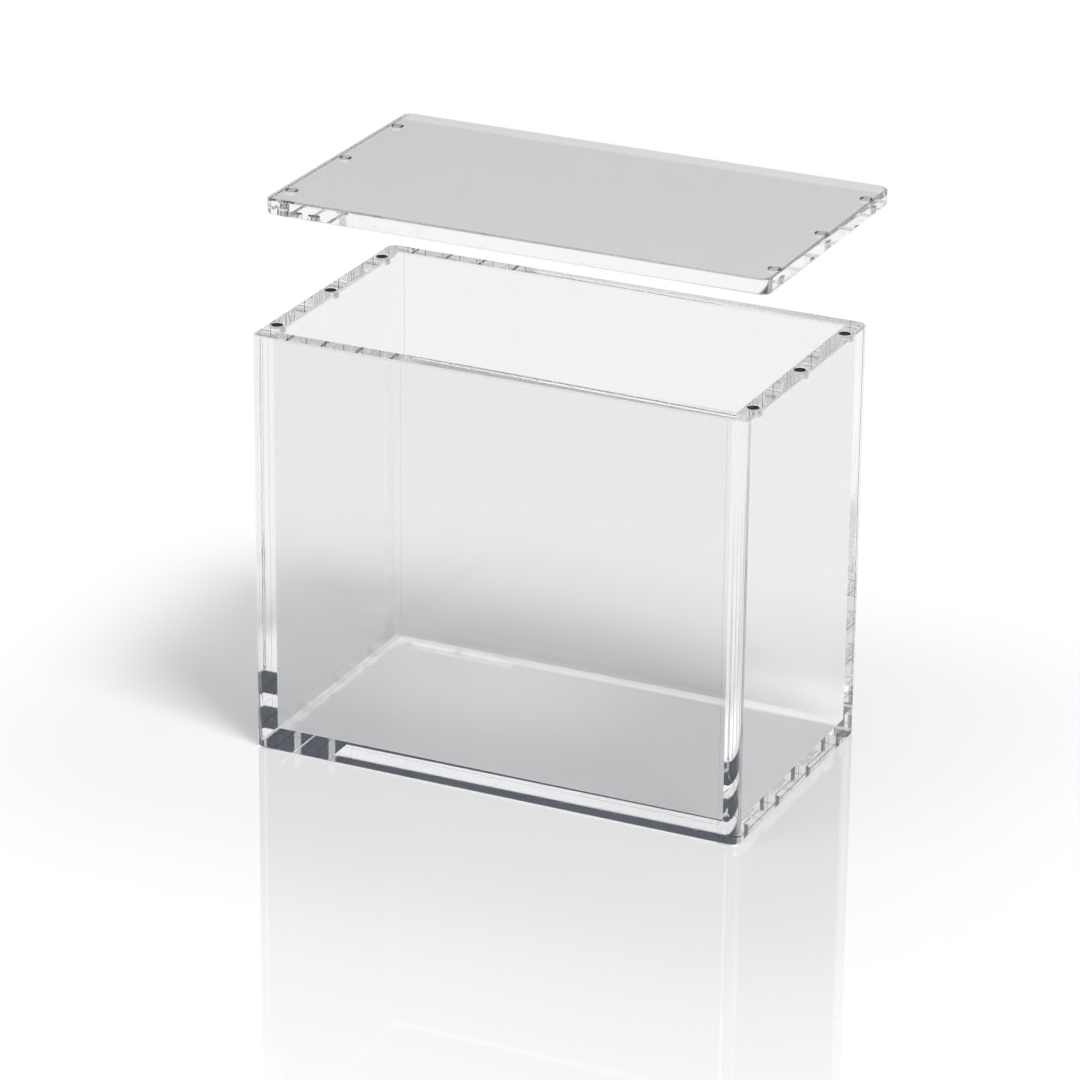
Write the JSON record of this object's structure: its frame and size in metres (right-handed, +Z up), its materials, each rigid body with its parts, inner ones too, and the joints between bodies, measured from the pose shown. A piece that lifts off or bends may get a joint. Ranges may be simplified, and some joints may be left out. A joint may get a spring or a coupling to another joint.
{
  "type": "booster box display case",
  "caption": "Clear acrylic display case with a loose magnetic lid, an open upright box of glued panels sized to show one sealed booster box of trading cards.",
  "frame": {"origin": "on the table, under the middle of the case's base", "axes": "+X to the right along the wide front, -Y towards the viewer, +Z up towards the lid"},
  "size_m": [0.1633, 0.091, 0.175],
  "materials": {
    "clear_acrylic": "clear cast acrylic sheet, polished faces and edges",
    "magnet_plating": "bright nickel plate, polished"
  },
  "bodies": {
    "case": {"base_panel": "clear_acrylic", "front_panel": "clear_acrylic", "back_panel": "clear_acrylic", "left_panel": "clear_acrylic", "right_panel": "clear_acrylic", "rim_magnet_left_front": "magnet_plating", "rim_magnet_left_middle": "magnet_plating", "rim_magnet_left_back": "magnet_plating", "rim_magnet_right_front": "magnet_plating", "rim_magnet_right_middle": "magnet_plating", "rim_magnet_right_back": "magnet_plating"},
    "lid": {"lid_panel": "clear_acrylic", "lid_magnet_left_front": "magnet_plating", "lid_magnet_left_middle": "magnet_plating", "lid_magnet_left_back": "magnet_plating", "lid_magnet_right_front": "magnet_plating", "lid_magnet_right_middle": "magnet_plating", "lid_magnet_right_back": "magnet_plating"}
  },
  "joints": [
    {"name": "lid_lift", "type": "slide", "parent": "case", "child": "lid", "axis": [0.1381, 0, 0.9904], "range_m": [-0.03836, 0.02]}
  ]
}
